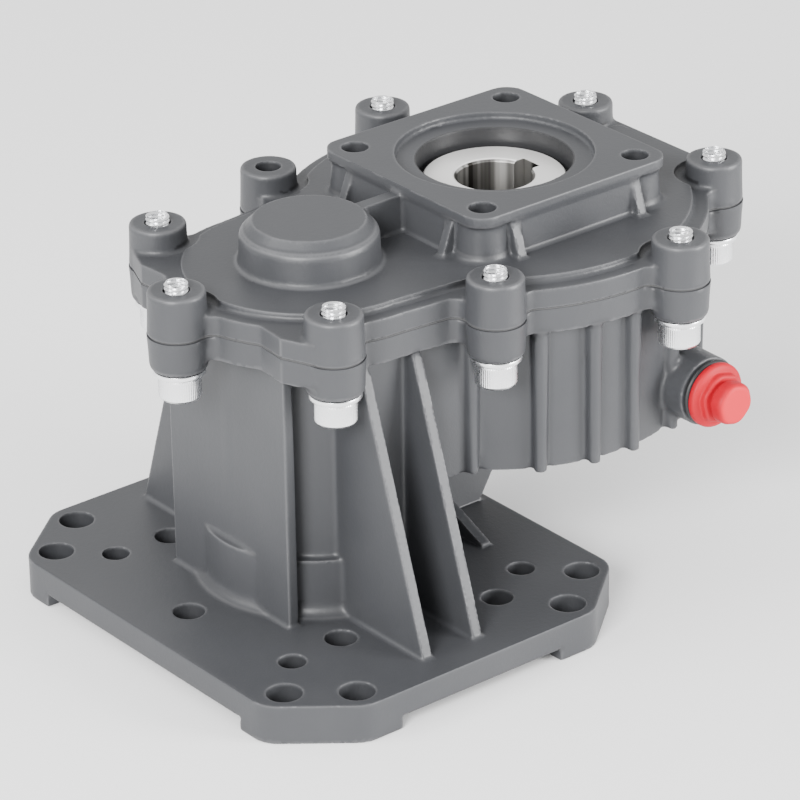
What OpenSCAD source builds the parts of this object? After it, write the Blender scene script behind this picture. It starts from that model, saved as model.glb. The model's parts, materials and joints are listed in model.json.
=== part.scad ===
// Speed reducer gearbox: a gusseted foot and drum round the engine shaft, a ribbed gear case
// beside it, and a cover with a dome and a square pump flange over the hollow output shaft.
// Millimetres. The input axis is the Z axis; the foot stands on z = 0; the output shaft lies at +X.

/* [Foot plate] */
// Foot size along X
foot_x = 137; // [120:1:170]
// Foot size along Y
foot_y = 161; // [150:1:190]
// Cut corner, length along X
foot_cut_x = 24.2; // [15:0.1:35]
// Cut corner, length along Y
foot_cut_y = 19.6; // [12:0.1:30]
// Plate thickness
foot_t = 8.5; // [6:0.5:14]
// Height of the corner pads below the plate
pad_h = 4.2; // [2:0.1:8]
// Half width of the open channel between the pads, across X
pad_in_x = 31; // [20:0.1:34]
// Half width of the open channel between the pads, across Y
pad_in_y = 49.5; // [35:0.1:52]
// Bolt circle diameter of the outer engine bolts
engine_pcd = 165.1; // [160:0.1:170]
// Radius of the outer engine bolt holes
engine_hole_r = 5.5; // [4:0.1:6]
// Bolt circle diameter of the inner engine bolts
small_pcd = 127.3; // [120:0.1:134]
// Radius of the inner engine bolt holes
small_hole_r = 4.3; // [3:0.1:5]
// Radius of the driver holes under the cover screws
access_r = 5; // [3.5:0.1:5.5]

/* [Drum and gussets] */
// Outer radius of the drum round the engine shaft
drum_r = 33.6; // [33:0.1:36]
// How far the ring at the drum's foot stands out
drum_ring = 2.3; // [0.5:0.1:3]
// Height of that ring above the plate
drum_ring_h = 19; // [10:1:35]
// Half length of the flat walls at the drum's outer side
side_wall_y = 29; // [22:0.5:31]
// Thickness of the walls and gussets
gusset_t = 3.6; // [2.5:0.1:5]
// X place of the outer gussets
gusset_x1 = -13.4; // [-15:0.1:-10]
// X place of the inner gussets
gusset_x2 = 6.2; // [3:0.1:9]
// Reach of the gussets along the plate
gusset_y = 70.5; // [60:0.5:73]
// Half width of the body at the outer gussets
body_y = 37.6; // [36:0.1:38.5]

/* [Gear case] */
// Room between the gear's teeth and the case
gear_room = 4.5; // [3:0.1:6.5]
// Wall of the gear case
case_wall = 5.5; // [3.5:0.1:6]
// Height of the case's underside above the plate
case_z = 39; // [37:0.5:41]
// Height of the joint face above the plate
seam_z = 94.5; // [94:0.1:96]
// Thickness of the housing's rim
rim_low_t = 8; // [6:0.1:9]
// Radius of the half round case ribs
case_rib_r = 2.6; // [1.5:0.1:2.8]

/* [Cover] */
// Rim radius round the input axis
rim_in_r = 44; // [43:0.1:46]
// How far the rim stands out over the gear case
rim_over = 4.5; // [3.5:0.1:5.5]
// Thickness of the cover's rim
rim_up_t = 6.5; // [5.5:0.1:8]
// Height of the raised top above the rim
plateau_h = 2.3; // [1.5:0.1:3.5]
// Width of the rim left round the raised top
ledge_w = 5; // [4:0.1:6]
// Radius of the dome
dome_r = 21.5; // [21.2:0.1:24]
// Height of the dome's top above the plate
dome_z = 116.9; // [116:0.1:120]
// Thickness of the web between dome and flange
web_t = 4.5; // [3:0.1:6]

/* [Pump flange] */
// Side of the square flange
flange_w = 78; // [77:0.1:82]
// Height of the flange face above the plate
flange_z = 118.5; // [118:0.1:121]
// Thickness of the flange plate
flange_t = 3.4; // [2.5:0.1:4.5]
// Spacing of the four pump bolts
pump_pitch = 61.5; // [60:0.1:62]
// Radius of the pump bolt holes
pump_hole_r = 4.25; // [3.5:0.1:4.5]
// Radius of the pump register
register_r = 31; // [29:0.1:32]
// Depth of the pump register
register_h = 2.5; // [1.5:0.1:4]
// Radius of the opening round the shaft
lip_r = 24.5; // [24:0.1:26]

/* [Gears] */
// Gear module
gear_m = 2; // [2:0.01:2.01]
// Teeth of the pinion
pinion_teeth = 23; // [22:1:24]
// Teeth of the output gear
gear_teeth = 50; // [49:1:50]
// Face width of the output gear
gear_w = 20; // [16:0.5:20]
// Backlash at the pitch circle
backlash = 0.16; // [0.1:0.01:0.3]

/* [Shafts] */
// Radius of the pump shaft bore
pump_bore_r = 12; // [10:0.1:12.5]
// Width of the pump shaft keyway
pump_key_w = 8; // [6:0.1:8]
// Radius of the engine shaft bore
engine_bore_r = 12.7; // [9.5:0.1:12.7]
// Width of the engine shaft keyway
engine_key_w = 6.35; // [4.7:0.05:6.35]
// Depth of the shaft's end face below the flange face
shaft_sunk = 8; // [6:0.5:9]

/* [Screws and plug] */
// Radius of the screw bosses at the joint face
boss_r = 9.3; // [8.6:0.1:9.6]
// Height of the boss tops above the plate
boss_top = 108.4; // [107:0.1:110]
// Height of the boss undersides above the plate
boss_low = 82.9; // [81:0.1:84]
// Radius of the screws
screw_r = 4; // [3:0.1:4]
// Radius of the screw heads
head_r = 6.5; // [5.5:0.1:6.7]
// Height of the screw heads
head_h = 8; // [6:0.1:8]
// How far the thread ends stand out
thread_out = 3; // [1:0.1:5]
// Radius of the oil plug's flange
plug_r = 10.5; // [9.5:0.1:11]
// Radius of the oil plug's thread
plug_thread_r = 7.5; // [6:0.1:8]

/* [Hidden] */
$fn = 96;
eps = 0.01;

// Running clearance, seating clearance and free clearance
run_gap = 0.06;
seat_gap = 0.02;
free_gap = 0.5;

// Centre distance of the gear pair, and the output axis
axis_gap = gear_m * (pinion_teeth + gear_teeth) / 2;
out_at = [axis_gap, 0];

// Levels measured from the pads' underside
top_z = pad_h + foot_t;
floor_z = top_z + case_z;
joint_z = top_z + seam_z;
gasket_t = 0.5;
rim_low_z = joint_z - rim_low_t;
ledge_z = joint_z + rim_up_t;
plateau_z = ledge_z + plateau_h;
boss_low_z = top_z + boss_low;
boss_top_z = top_z + boss_top;
dome_top_z = top_z + dome_z;
face_z = top_z + flange_z;
shaft_top_z = face_z - shaft_sunk;

// Bearings: bore radius, outer radius, width, number of balls
out_upper = [22.5, 37.5, 16, 12];
out_lower = [20, 34, 15, 12];
in_upper = [8.5, 17.5, 10, 9];
in_lower = [17.5, 27.5, 10, 14];

// Seals: shaft radius, outer radius, width
out_seal = [22.5, 31, 7];
in_seal = [17.5, 27.5, 8];

// Stack on the output axis, from the top
out_seal_z = joint_z + 4.5;
out_upper_z = out_seal_z - out_upper[2];
collar_z = out_upper_z - 2;
gear_z = collar_z - gear_w;
out_lower_z = gear_z - out_lower[2];
out_clip_t = 1.75;
out_groove = 1.25;
shaft_low_z = out_lower_z - out_clip_t - 1.2;
relief_z = shaft_low_z - 0.8;

// Stack on the input axis, from the top
in_upper_z = joint_z + 5;
pinion_z = gear_z - 1;
pinion_w = gear_w + 2;
in_lower_z = pinion_z - 16;
in_clip_t = 1.5;
in_groove = 1;
bearing_clip_t = 2;
in_seal_z = in_lower_z - bearing_clip_t - 2 - in_seal[2];
input_low_z = in_seal_z - 4;
engine_bore_top = pinion_z + pinion_w - 3;
pump_bore_low = relief_z + 5;

// Radii of shafts and hollows
gear_seat_r = out_upper[0] - 0.5;
collar_r = out_upper[0] + 3.5;
pinion_hollow_r = gear_m * (pinion_teeth / 2 + 1) + 4.5;
gear_tip_r = gear_m * (gear_teeth / 2 + 1);
case_hollow_r = gear_tip_r + gear_room;
case_r = case_hollow_r + case_wall;
rim_out_r = case_r + rim_over;
hollow_top_z = ledge_z - 2.2;
// Half widths of the body's side walls along X, outside and inside
body_side = [[gusset_x1 - gusset_t / 2, body_y], [gusset_x2 + gusset_t / 2, body_y + 1.8],
    [18, body_y + 4.2], [axis_gap - 40, body_y + 6]];
hollow_side = [[-4, pinion_hollow_r - 0.6], [8, body_y - 4.1], [20, body_y - 1.1], [31, body_y]];
function mirrored(p) = concat(p, [for (i = [1:len(p)]) [p[len(p) - i].x, -p[len(p) - i].y]]);
drum_hollow_r = in_seal[1] + 1.5;

// Screw places: three round the input axis, six round the output axis; the last boss holds no screw
washer_t = 1.5;
washer_r = screw_r * 2;
in_bolt_r = rim_in_r + 6;
out_bolt_r = case_r + washer_r + 1;
function polar(r, a) = [r * cos(a), r * sin(a)];
in_bolts = [for (a = [120, 180, 240]) polar(in_bolt_r, a)];
out_bolts = [for (a = [-130, -78, -26, 25.4, 80.5]) out_at + polar(out_bolt_r, a)];
open_bolt = out_at + polar(out_bolt_r + 1, 130);
screw_at = concat(in_bolts, out_bolts);
boss_at = concat(screw_at, [open_bolt]);
dowel_ring_r = (case_hollow_r + rim_out_r) / 2;
dowel_at = [out_at + polar(dowel_ring_r, -52), out_at + polar(dowel_ring_r, 104)];
dowel_r = 3;
dowel_z = [joint_z - 5.5, joint_z + 4.5];
rib_angles = [136.8, 117.8, 102, 88.7, 71.2, 40, 12];

// Oil plug place and stack along -Y
plug_x = axis_gap + 27.7;
plug_z = top_z + 52.2;
plug_boss_y = -case_r - 6.8;
plug_ring_t = 2.2;
plug_flange_t = 3;
plug_collar_t = 2.2;
plug_head_t = 8;

// Corner points of a polygon rounded with radius r
function unit(v) = v / norm(v);
function corner(a, b, c, r, n) =
    let (u = unit(a - b))
    let (v = unit(c - b))
    let (h = acos(u * v) / 2)
    let (m = b + unit(u + v) * r / sin(h))
    let (s = b + u * r / tan(h) - m)
    let (e = b + v * r / tan(h) - m)
    let (a0 = atan2(s.y, s.x))
    let (turn = (atan2(e.y, e.x) - a0 + 540) % 360 - 180)
    [for (i = [0:n]) m + polar(r, a0 + turn * i / n)];
function rounded(p, r, n) =
    [for (i = [0:len(p) - 1])
        each corner(p[(i + len(p) - 1) % len(p)], p[i], p[(i + 1) % len(p)], r, n)];
function hex_points(r) = [for (a = [0:60:300]) polar(r, a)];
function box_points(x, y) = [[-x, -y], [x, -y], [x, y], [-x, y]];

// Spur gear outline: polar angle of the flank at radius r, then all teeth
function flank(r, rb) =
    let (t = sqrt(max(0, (r / rb) * (r / rb) - 1)))
    t * 180 / PI - atan(t);
function tooth_half(r, z) =
    let (rp = gear_m * z / 2)
    let (rb = rp * cos(20))
    90 / z + flank(rp, rb) - flank(max(r, rb), rb) - backlash / 4 / rp * 180 / PI;
function tooth_radii(z) =
    let (rp = gear_m * z / 2)
    let (low = rp - 1.25 * gear_m)
    let (start = max(low, rp * cos(20)))
    concat([low], [for (i = [0:6]) start + 0.05 + (rp + gear_m - start - 0.05) * i / 6]);
function gear_points(z, phase) =
    let (rr = tooth_radii(z))
    let (n = len(rr) - 1)
    [for (k = [0:z - 1]) each concat(
        [for (i = [0:n]) polar(rr[i], phase + 360 * k / z - tooth_half(rr[i], z))],
        [for (i = [0:n]) polar(rr[n - i], phase + 360 * k / z + tooth_half(rr[n - i], z))])];

module at(p, z) {
    translate([p.x, p.y, z])
        children();
}

module ring(r_out, r_in, z0, z1) {
    translate([0, 0, z0])
        difference() {
            cylinder(r = r_out, h = z1 - z0);
            translate([0, 0, -1])
                cylinder(r = r_in, h = z1 - z0 + 2);
        }
}

module disc(r, z0, z1) {
    translate([0, 0, z0])
        cylinder(r = r, h = z1 - z0);
}

// Turned ring with its four edges broken by c
module turned(r_in, r_out, z0, z1, c) {
    rotate_extrude()
        polygon([[r_in, z0 + c], [r_in + c, z0], [r_out - c, z0], [r_out, z0 + c],
            [r_out, z1 - c], [r_out - c, z1], [r_in + c, z1], [r_in, z1 - c]]);
}

// Outlines shared by housing, gasket and cover
module rim_body() {
    circle(r = rim_in_r);
    translate(out_at)
        circle(r = rim_out_r);
    polygon([[-8, -rim_in_r + 0.9], [axis_gap - 40, -47.5], [axis_gap - 40, 47.5],
        [-8, rim_in_r - 0.9]]);
    // Flat end of the rim between the two end bosses
    translate([axis_gap + 40, -31])
        square([rim_out_r - 34.1, 62]);
}

// Flares of the rim beside the bosses next to the drum
module rim_flares() {
    for (side = [-1, 1])
        polygon([[-30, side * 20], [-37.3, side * 24], [-38.2, side * 34.5], [-34.5, side * 43.5],
            [-25, side * 44], [-10, side * 30]]);
}

module rim_outline() {
    offset(r = -4)
        offset(delta = 4)
            union() {
                rim_body();
                rim_flares();
                for (p = boss_at)
                    translate(p)
                        circle(r = boss_r - 0.35);
            }
}

module plateau_outline() {
    offset(r = 2.5)
        offset(delta = -2.5)
            difference() {
                offset(delta = -ledge_w)
                    rim_body();
                for (p = boss_at)
                    translate(p)
                        circle(r = boss_r + 3.2);
            }
}

module hollow_outline() {
    circle(r = pinion_hollow_r);
    translate(out_at)
        circle(r = case_hollow_r);
    polygon(mirrored(hollow_side));
}

// Boss of the housing: widest at the joint, rounded at the foot
module low_boss() {
    h = joint_z - gasket_t / 2 - boss_low_z;
    rotate_extrude()
        polygon([[0, 0], [boss_r - 2.2, 0], [boss_r - 1.2, 0.35], [boss_r - 0.6, 1.1],
            [boss_r - 0.35, 2.2], [boss_r + 0.1, h], [0, h]]);
}

// Boss of the cover: slightly slimmer at the top, edge broken
module high_boss() {
    h = boss_top_z - joint_z - gasket_t / 2;
    rotate_extrude()
        polygon([[0, 0], [boss_r - 0.05, 0], [boss_r - 0.45, h - 0.8], [boss_r - 0.7, h - 0.25],
            [boss_r - 1.2, h], [0, h]]);
}

module foot_plate() {
    x = foot_x / 2;
    y = foot_y / 2;
    pts = [[x, -y + foot_cut_y], [x, y - foot_cut_y], [x - foot_cut_x, y], [-x + foot_cut_x, y],
        [-x, y - foot_cut_y], [-x, -y + foot_cut_y], [-x + foot_cut_x, -y], [x - foot_cut_x, -y]];
    difference() {
        linear_extrude(top_z)
            polygon(rounded(pts, 10, 5));
        translate([-x - 1, -pad_in_y, -1])
            cube([foot_x + 2, 2 * pad_in_y, pad_h + 1]);
        translate([-pad_in_x, -y - 1, -1])
            cube([2 * pad_in_x, foot_y + 2, pad_h + 1]);
    }
}

module foot_holes() {
    for (sx = [-1, 1])
        for (sy = [-1, 1])
            translate([0, 0, -1]) {
                translate([sx * engine_pcd / 2 * cos(45), sy * engine_pcd / 2 * sin(45), 0])
                    cylinder(r = engine_hole_r, h = top_z + 2);
                translate([sx * engine_pcd / 2 * cos(60), sy * engine_pcd / 2 * sin(60), 0])
                    cylinder(r = engine_hole_r, h = top_z + 2);
                translate([sx * small_pcd / 2 * cos(45), sy * small_pcd / 2 * sin(45), 0])
                    cylinder(r = small_hole_r, h = top_z + 2);
            }
    for (p = [in_bolts[0], in_bolts[1], in_bolts[2], out_bolts[0], open_bolt])
        at(p, -1)
            cylinder(r = access_r, h = top_z + 2);
}

// Upright plate in the YZ plane, tapering from the foot to the rim
module gusset(x, side) {
    low = body_y - 6;
    top = rim_low_z - top_z;
    translate([x - gusset_t / 2, 0, top_z - eps])
        rotate([90, 0, 90])
            linear_extrude(gusset_t)
                polygon([[side * low, 0], [side * gusset_y, 0], [side * (gusset_y - 0.4), 1.5],
                    [side * 42.5, top + 0.5], [side * low, top + 0.5]]);
}

// Web under the overhanging case, with its two cross gussets
module case_web() {
    h = floor_z - top_z;
    translate([0, 2, top_z - eps])
        rotate([90, 0, 0])
            linear_extrude(4)
                polygon([[30, 0], [64.5, 0], [axis_gap + 15, h + 1], [30, h + 1]]);
    for (side = [-1, 1])
        translate([46 - 1.8, 0, top_z - eps])
            rotate([90, 0, 90])
                linear_extrude(3.6)
                    polygon([[0, 0], [side * 27.5, 0], [side * 27, 1], [side * 2, 11.5], [0, 11.5]]);
}

module plug_boss() {
    translate([plug_x, plug_boss_y, plug_z])
        rotate([-90, 0, 0])
            cylinder(r1 = plug_r + 0.6, r2 = plug_r + 0.9, h = 22);
}

module housing_outside() {
    wall_top = rim_low_z + 1;
    foot_plate();
    disc(drum_r, top_z - 1, wall_top);
    disc(drum_r + drum_ring, top_z - 1, top_z + drum_ring_h);
    turned_foot();
    translate([-drum_r + 0.1, -side_wall_y, top_z - 1])
        cube([gusset_t, 2 * side_wall_y, wall_top - top_z + 1]);
    translate([0, 0, top_z - 1])
        linear_extrude(wall_top - top_z + 1)
            polygon(mirrored([body_side[0], body_side[1]]));
    translate([0, 0, floor_z])
        linear_extrude(wall_top - floor_z)
            polygon(mirrored([body_side[1] - [1, 0], body_side[1], body_side[2], body_side[3]]));
    for (side = [-1, 1]) {
        gusset(gusset_x1, side);
        gusset(gusset_x2, side);
    }
    at(out_at, floor_z)
        cylinder(r = case_r, h = wall_top - floor_z);
    for (a = rib_angles)
        for (side = [-1, 1])
            at(out_at + polar(case_r + 1.4, side * a), floor_z)
                cylinder(r1 = case_rib_r - 0.5, r2 = case_rib_r, h = wall_top - floor_z);
    case_web();
    plug_boss();
    translate([0, 0, rim_low_z])
        linear_extrude(joint_z - gasket_t / 2 - rim_low_z)
            rim_outline();
    for (p = boss_at)
        at(p, boss_low_z)
            low_boss();
}

// Sloped ring where the drum meets the plate
module turned_foot() {
    r = drum_r + drum_ring;
    rotate_extrude()
        polygon([[0, top_z - 1], [r + 2.5, top_z - 1], [r + 2.5, top_z + 0.4], [r + 0.8, top_z + 1.4],
            [r, top_z + 3.4], [0, top_z + 3.4]]);
}

module gear_housing() {
    color([0.27, 0.28, 0.29])
        difference() {
            union() {
                difference() {
                    housing_outside();
                    translate([0, 0, floor_z + 5])
                        linear_extrude(60)
                            hollow_outline();
                }
                disc(drum_r - 0.8, floor_z, in_lower_z + in_lower[2] + 2);
                at(out_at, floor_z + 1)
                    cylinder(r = out_lower[1] + 4.5, h = gear_z - 1.5 - floor_z - 1);
                translate([axis_gap / 2 - 7, -8, floor_z + 1])
                    cube([14, 16, in_lower_z + in_lower[2] + 2 - floor_z - 1]);
            }
            foot_holes();
            // Hollow of the drum, seal seat, bearing seat and clip groove
            disc(drum_hollow_r, -1, in_seal_z - 3);
            disc(in_seal[1] + seat_gap, -1, in_lower_z + in_lower[2]);
            disc(in_lower[1] - 3, -1, in_lower_z + in_lower[2] + 5);
            ring(in_lower[1] + 1.2, in_lower[1] - 2, in_lower_z - bearing_clip_t - 0.05, in_lower_z);
            disc(pinion_hollow_r, pinion_z - 2.5, joint_z + 1);
            // Lower bearing seat of the output shaft
            at(out_at, out_lower_z)
                cylinder(r = out_lower[1] + seat_gap, h = 30);
            at(out_at, relief_z)
                cylinder(r = out_lower[1] - 4, h = 10);
            // Oil plug hole
            translate([plug_x, plug_boss_y - 2, plug_z])
                rotate([-90, 0, 0])
                    cylinder(r = plug_thread_r + run_gap, h = 30);
            for (p = boss_at)
                at(p, boss_low_z - 1)
                    cylinder(r = screw_r + free_gap, h = 40);
            for (p = dowel_at)
                at(p, dowel_z[0])
                    cylinder(r = dowel_r + seat_gap, h = 20);
        }
}

module flange_body() {
    c = flange_w / 2;
    k = 15;
    h = face_z - flange_t - ledge_z;
    at(out_at, ledge_z) {
        linear_extrude(h + 0.5)
            polygon([[-c + k, -c + 0.5], [c - k, -c + 0.5], [c - 0.5, -c + k], [c - 0.5, c - k],
                [c - k, c - 0.5], [-c + k, c - 0.5], [-c + 0.5, c - k], [-c + 0.5, -c + k]]);
        for (a = [45:90:315])
            at(polar(pump_pitch / sqrt(2), a), 0) {
                cylinder(r1 = 8.2, r2 = 7.4, h = h + 0.5);
                cylinder(r1 = 9.6, r2 = 8, h = plateau_h + 2);
            }
    }
    // Small triangular webs on both sides of every corner post
    for (a = [0:90:270])
        at(out_at, ledge_z)
            rotate(a)
                for (side = [-1, 1])
                    translate([side * (pump_pitch / 2 - 6.5), -c + 2, 0])
                        rotate([90, 0, -90])
                            translate([0, 0, -1.6])
                                linear_extrude(3.2)
                                    polygon([[-6, 0], [6.2, 0], [1, h], [-6, h]]);
}

module flange_plate() {
    c = flange_w / 2;
    at(out_at, face_z - flange_t)
        linear_extrude(flange_t)
            polygon(rounded(box_points(c, c), 7, 6));
}

module dome() {
    t = dome_top_z;
    rotate_extrude()
        polygon([[0, plateau_z - 1], [dome_r + 0.9, plateau_z - 1], [dome_r + 0.9, plateau_z + 0.2],
            [dome_r + 0.2, plateau_z + 1], [dome_r - 0.1, t - 5.2], [dome_r - 0.5, t - 3.9],
            [dome_r - 1.3, t - 3.1], [dome_r - 2, t - 2.9], [dome_r - 2.3, t - 2.3],
            [dome_r - 4.2, t], [0, t]]);
}

module gear_cover() {
    low = joint_z + gasket_t / 2;
    color([0.3, 0.31, 0.32])
        difference() {
            union() {
                difference() {
                    union() {
                        translate([0, 0, low])
                            linear_extrude(ledge_z - low)
                                rim_outline();
                        translate([0, 0, ledge_z - eps])
                            linear_extrude(plateau_h + eps)
                                plateau_outline();
                        flange_body();
                    }
                    translate([0, 0, low - 1])
                        linear_extrude(hollow_top_z - low + 1)
                            hollow_outline();
                }
                flange_plate();
                dome();
                disc(dome_r + 0.3, low + 1.5, plateau_z);
                translate([dome_r - 5, -web_t / 2, plateau_z - 1])
                    cube([axis_gap - flange_w / 2 - dome_r + 8, web_t, dome_top_z - plateau_z - 0.4]);
                for (p = boss_at)
                    at(p, low)
                        high_boss();
                at(out_at, out_upper_z + 0.5)
                    cylinder(r = out_upper[1] + 4, h = ledge_z - out_upper_z);
            }
            // Output side: bearing seat, seal seat, opening and pump register
            at(out_at, out_upper_z - 1)
                cylinder(r = out_upper[1] + seat_gap, h = out_upper[2] + 1);
            at(out_at, out_upper_z)
                cylinder(r = out_seal[1] + seat_gap, h = out_upper[2] + out_seal[2]);
            at(out_at, out_upper_z)
                cylinder(r = lip_r, h = 60);
            at(out_at, face_z - register_h)
                cylinder(r = register_r, h = register_h + 1);
            // Input side: bearing seat in the dome
            disc(in_upper[1] + seat_gap, low - 1, in_upper_z + in_upper[2]);
            disc(in_upper[1] - 4, low - 1, in_upper_z + in_upper[2] + 2.5);
            for (a = [45:90:315])
                at(out_at + polar(pump_pitch / sqrt(2), a), face_z - 17)
                    cylinder(r = pump_hole_r, h = 18);
            for (p = screw_at)
                at(p, low - 1)
                    cylinder(r = screw_r + run_gap, h = 40);
            at(open_bolt, low - 1)
                cylinder(r = screw_r, h = 40);
            for (p = dowel_at)
                at(p, low - 1)
                    cylinder(r = dowel_r + seat_gap, h = dowel_z[1] - low + 1.3);
        }
}

module cover_gasket() {
    color([0.2, 0.21, 0.2])
        translate([0, 0, joint_z - gasket_t / 2])
            linear_extrude(gasket_t)
                difference() {
                    offset(delta = -0.2)
                        rim_outline();
                    hollow_outline();
                    for (p = boss_at)
                        translate(p)
                            circle(r = screw_r + free_gap);
                    for (p = dowel_at)
                        translate(p)
                            circle(r = dowel_r + 0.3);
                }
}

module cover_screws() {
    z = boss_low_z - washer_t;
    len = boss_top_z + thread_out - z;
    color([0.78, 0.8, 0.82])
        for (p = screw_at)
            at(p, z)
                difference() {
                    rotate_extrude()
                        polygon([[0, -head_h], [head_r - 1, -head_h], [head_r, -head_h + 1],
                            [head_r, 0], [screw_r, 0], [screw_r, len - 0.9], [screw_r - 0.9, len],
                            [0, len]]);
                    translate([0, 0, -head_h - 1])
                        cylinder(r = screw_r * 0.75 / cos(30), h = 5, $fn = 6);
                }
}

module cover_washers() {
    color([0.8, 0.82, 0.84])
        for (p = screw_at)
            at(p, 0)
                ring(washer_r, screw_r + 0.2, boss_low_z - washer_t, boss_low_z);
}

module dowel_pins() {
    color([0.7, 0.7, 0.7])
        for (p = dowel_at)
            at(p, 0)
                turned(0, dowel_r, dowel_z[0], dowel_z[1], 0.4);
}

module oil_plug() {
    y0 = plug_boss_y - plug_ring_t;
    f = plug_flange_t;
    color([0.93, 0.25, 0.28])
        translate([plug_x, y0, plug_z])
            rotate([90, 0, 0]) {
                rotate_extrude()
                    polygon([[0, -13], [plug_thread_r - 0.8, -13], [plug_thread_r, -12.2],
                        [plug_thread_r, 0], [plug_r, 0], [plug_r, f - 1], [plug_r - 0.9, f],
                        [5.4, f + 0.3], [5.4, f + plug_head_t - 1], [0, f + plug_head_t - 1]]);
                // Hexagonal collar below a smaller rounded head
                translate([0, 0, f - 0.5])
                    linear_extrude(plug_collar_t + 0.5)
                        polygon(rounded(hex_points(plug_r - 1.8), 1.5, 4));
                translate([0, 0, f + plug_head_t - 4.4])
                    linear_extrude(3.4)
                        polygon(rounded(hex_points(7), 2, 4));
                translate([0, 0, f + plug_head_t - 1 - eps])
                    cylinder(r1 = 6, r2 = 5.2, h = 1 + eps);
            }
}

module oil_plug_seal() {
    color([0.06, 0.06, 0.06])
        translate([plug_x, plug_boss_y, plug_z])
            rotate([90, 0, 0])
                difference() {
                    cylinder(r = plug_r + 0.2, h = plug_ring_t);
                    translate([0, 0, -1])
                        cylinder(r = plug_thread_r + 0.1, h = plug_ring_t + 2);
                }
}

// Radial shaft seal: casing, then a lip that runs on the shaft
module shaft_seal(s, z) {
    color([0.08, 0.08, 0.09])
        translate([0, 0, z])
            rotate_extrude()
                polygon([[s[1], 0.4], [s[1], s[2]], [s[0] + 2.4, s[2]], [s[0] + 1.2, s[2] - 1],
                    [s[0] + run_gap, s[2] - 1.6], [s[0] + run_gap, s[2] - 2.2],
                    [s[0] + 1.4, s[2] - 3], [s[0] + 1, 2], [s[0] + 2, 1.2], [s[0] + 3.4, 1.6],
                    [s[0] + 3.4, s[2] - 2], [s[1] - 1.6, s[2] - 2], [s[1] - 1.6, 0]]);
}

module output_seal() {
    translate(out_at)
        shaft_seal(out_seal, out_seal_z);
}

module input_seal() {
    shaft_seal(in_seal, in_seal_z);
}

module output_shaft() {
    top = shaft_top_z;
    key_out = pump_bore_r + 3.3;
    color([0.86, 0.86, 0.84])
        translate(out_at)
            difference() {
                rotate_extrude()
                    polygon([[0, shaft_low_z], [out_lower[0] - 1, shaft_low_z],
                        [out_lower[0], shaft_low_z + 0.8], [out_lower[0], out_lower_z - out_clip_t],
                        [out_lower[0] - out_groove, out_lower_z - out_clip_t],
                        [out_lower[0] - out_groove, out_lower_z], [out_lower[0], out_lower_z],
                        [out_lower[0], gear_z], [gear_seat_r, gear_z], [gear_seat_r, collar_z],
                        [collar_r, collar_z], [collar_r, out_upper_z], [out_upper[0], out_upper_z],
                        [out_upper[0], top - 0.6], [out_upper[0] - 0.6, top],
                        [pump_bore_r + 1, top], [pump_bore_r, top - 1], [pump_bore_r, pump_bore_low],
                        [0, pump_bore_low]]);
                // Keyway of the pump shaft, towards +X
                translate([0, -pump_key_w / 2, pump_bore_low])
                    cube([key_out, pump_key_w, top - pump_bore_low + 1]);
                // Seat of the gear's key, towards -X
                translate([-gear_seat_r - 1, -5, gear_z + 2])
                    cube([6, 10, gear_w - 4]);
            }
}

module gear_key() {
    color([0.6, 0.6, 0.6])
        translate(out_at)
            translate([-gear_seat_r - 3, -5 + seat_gap, gear_z + 2 + seat_gap])
                cube([8 - seat_gap, 10 - 2 * seat_gap, gear_w - 4 - 2 * seat_gap]);
}

module output_gear() {
    rim = gear_tip_r - 9;
    color([0.62, 0.63, 0.64])
        translate(out_at)
            difference() {
                translate([0, 0, gear_z])
                    linear_extrude(gear_w)
                        polygon(gear_points(gear_teeth, 180 / gear_teeth));
                disc(gear_seat_r + seat_gap, gear_z - 1, collar_z + 1);
                // Recessed faces and lightening holes
                ring(rim, 30, gear_z - 1, gear_z + 5);
                ring(rim, 30, collar_z - 5, collar_z + 1);
                for (a = [30:60:330])
                    at(polar((rim + 30) / 2, a), gear_z)
                        cylinder(r = 4, h = gear_w);
                translate([-gear_seat_r - 3.1, -5, gear_z - 1])
                    cube([8, 10, gear_w + 2]);
            }
}

module input_shaft() {
    root = gear_m * (pinion_teeth / 2 - 1.25);
    key_out = engine_bore_r + 2.8;
    neck_z = pinion_z + pinion_w;
    stub_z = in_upper_z + in_upper[2];
    color([0.66, 0.67, 0.68])
        difference() {
            union() {
                translate([0, 0, pinion_z])
                    linear_extrude(pinion_w)
                        polygon(gear_points(pinion_teeth, 0));
                rotate_extrude()
                    polygon([[0, input_low_z], [in_lower[0] - 1, input_low_z],
                        [in_lower[0], input_low_z + 1], [in_lower[0], in_lower_z - in_clip_t],
                        [in_lower[0] - in_groove, in_lower_z - in_clip_t],
                        [in_lower[0] - in_groove, in_lower_z],
                        [in_lower[0], in_lower_z], [in_lower[0], in_lower_z + in_lower[2]],
                        [root - 0.5, in_lower_z + in_lower[2]], [root - 0.5, neck_z + 1],
                        [root - 4, neck_z + 1], [in_upper[0] + 3, in_upper_z - 3],
                        [in_upper[0] + 3, in_upper_z], [in_upper[0], in_upper_z],
                        [in_upper[0], stub_z], [in_upper[0] - 0.8, stub_z + 0.8], [0, stub_z + 0.8]]);
            }
            disc(engine_bore_r, input_low_z - 1, engine_bore_top);
            translate([0, -engine_key_w / 2, input_low_z - 1])
                cube([key_out, engine_key_w, engine_bore_top - input_low_z - 1]);
            translate([0, 0, input_low_z - eps])
                cylinder(r1 = engine_bore_r + 1, r2 = engine_bore_r, h = 1);
        }
}

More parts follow.
